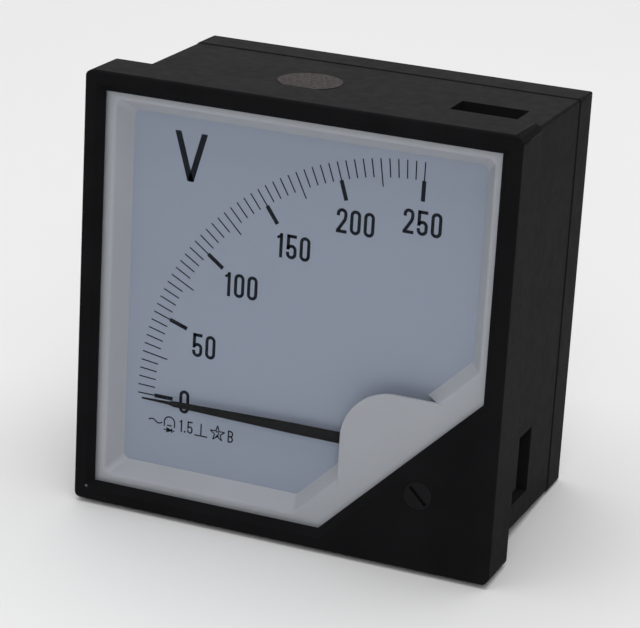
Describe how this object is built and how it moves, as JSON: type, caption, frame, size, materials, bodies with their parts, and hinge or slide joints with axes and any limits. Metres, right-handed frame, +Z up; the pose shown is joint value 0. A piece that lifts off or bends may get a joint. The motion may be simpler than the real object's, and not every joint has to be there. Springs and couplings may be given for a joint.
{
  "type": "square analog panel meter",
  "caption": "Square flush-mounting dial meter with a quadrant scale, swinging pointer, zero adjuster and rear screw terminals.",
  "frame": {"origin": "middle of the square panel cut-out, in the plane of the panel's front, where the rear of the front frame seats", "axes": "+X right and +Z up as seen by a reader of the dial, -Y towards the reader, +Y through the panel towards the terminals"},
  "size_m": [0.12, 0.085, 0.12],
  "materials": {
    "frame_black": "satin",
    "case_black": "satin",
    "window_clear": "gloss",
    "mask_white": "satin",
    "dial_white": "matte",
    "pointer_black": "matte",
    "adjuster_black": "satin",
    "foil_silver": "satin",
    "zinc_steel": "satin",
    "spring_steel": "satin",
    "brass": "satin",
    "bronze_strip": "satin",
    "jewel_red": "polished",
    "aluminium": "satin",
    "copper_wire": "gloss",
    "magnet_grey": "satin",
    "soft_iron": "satin",
    "board_brown": "satin",
    "diode_black": "satin",
    "resistor_blue": "satin",
    "lead_blue": "satin",
    "lead_red": "satin"
  },
  "bodies": {
    "meter": {"bezel": "frame_black", "window_pane": "window_clear", "scale_mask": "mask_white", "dial_plate": "dial_white", "case_body": "case_black", "rear_cover": "case_black", "cover_screws": "zinc_steel", "seal_sticker": "foil_silver", "front_bridge": "brass", "bridge_screws": "zinc_steel", "front_standoffs": "brass", "front_jewel_screw": "brass", "pivot_jewels": "jewel_red", "hairspring_front": "bronze_strip", "hairspring_rear": "bronze_strip", "rear_spring_arm": "brass", "rear_jewel_screw": "brass", "core_magnet": "magnet_grey", "magnet_spacers": "aluminium", "yoke_ring": "soft_iron", "rear_standoffs": "brass", "rear_bracket": "aluminium", "ring_screws": "zinc_steel", "bracket_screws": "zinc_steel", "rectifier_board": "board_brown", "board_screws": "zinc_steel", "diodes": "diode_black", "series_resistors": "resistor_blue", "movement_leads": "lead_blue", "terminal_leads": "lead_red", "terminal_lugs": "zinc_steel", "terminal_studs": "brass", "terminal_washers": "brass", "lock_washers": "spring_steel", "terminal_nuts": "brass"},
    "moving_coil": {"pointer": "pointer_black", "balance_weights": "brass", "front_collet": "brass", "front_staff": "spring_steel", "coil_former": "aluminium", "coil_winding": "copper_wire", "rear_staff": "spring_steel", "rear_collet": "brass"},
    "zero_screw": {"zero_screw": "adjuster_black"},
    "zero_lever": {"zero_lever": "brass"}
  },
  "joints": [
    {"name": "pointer_swing", "type": "hinge", "parent": "meter", "child": "moving_coil", "pos_m": [0.0318, -0.008, -0.0298], "axis": [0, 1, 0], "range_deg": [-3, 93], "stiffness_Nm_per_rad": 0.00003, "deforming": ["hairspring_front", "hairspring_rear"]},
    {"name": "zero_screw_turn", "type": "hinge", "parent": "meter", "child": "zero_screw", "pos_m": [0.0392, -0.0135, -0.039], "axis": [0, 1, 0], "range_deg": [-45, 45]},
    {"name": "zero_lever_turn", "type": "hinge", "parent": "meter", "child": "zero_lever", "pos_m": [0.0318, -0.0098, -0.0298], "axis": [0, 1, 0], "range_deg": [-4, 4]}
  ],
  "couplings": [
    {"joint": "zero_lever_turn", "follows": "zero_screw_turn", "ratio": 0.0735}
  ]
}
